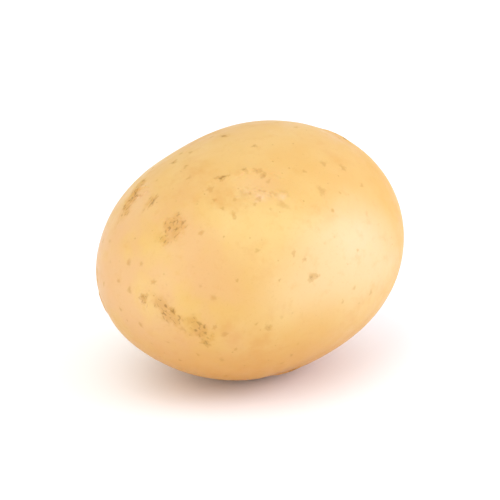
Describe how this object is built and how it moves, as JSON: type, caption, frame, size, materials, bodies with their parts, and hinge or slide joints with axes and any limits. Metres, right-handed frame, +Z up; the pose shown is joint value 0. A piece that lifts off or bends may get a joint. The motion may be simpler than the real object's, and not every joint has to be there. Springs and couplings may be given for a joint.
{
  "type": "potato",
  "caption": "Oval potato tuber with smooth pale yellow skin, shallow browed eyes that crowd towards the rose end, a stem scar, and a small flat spot that it lies on.",
  "frame": {"origin": "on the surface that the potato lies on, under the middle of its box", "axes": "+X along the long axis towards the stem end, so that the rose end with most of the eyes is at -X; +Z up; +Y across"},
  "size_m": [0.0832, 0.0672, 0.0622],
  "materials": {
    "skin": "washed potato skin: pale yellow with tan mottling, satin and slightly waxy"
  },
  "bodies": {
    "root": {"potato": "skin"}
  },
  "joints": []
}
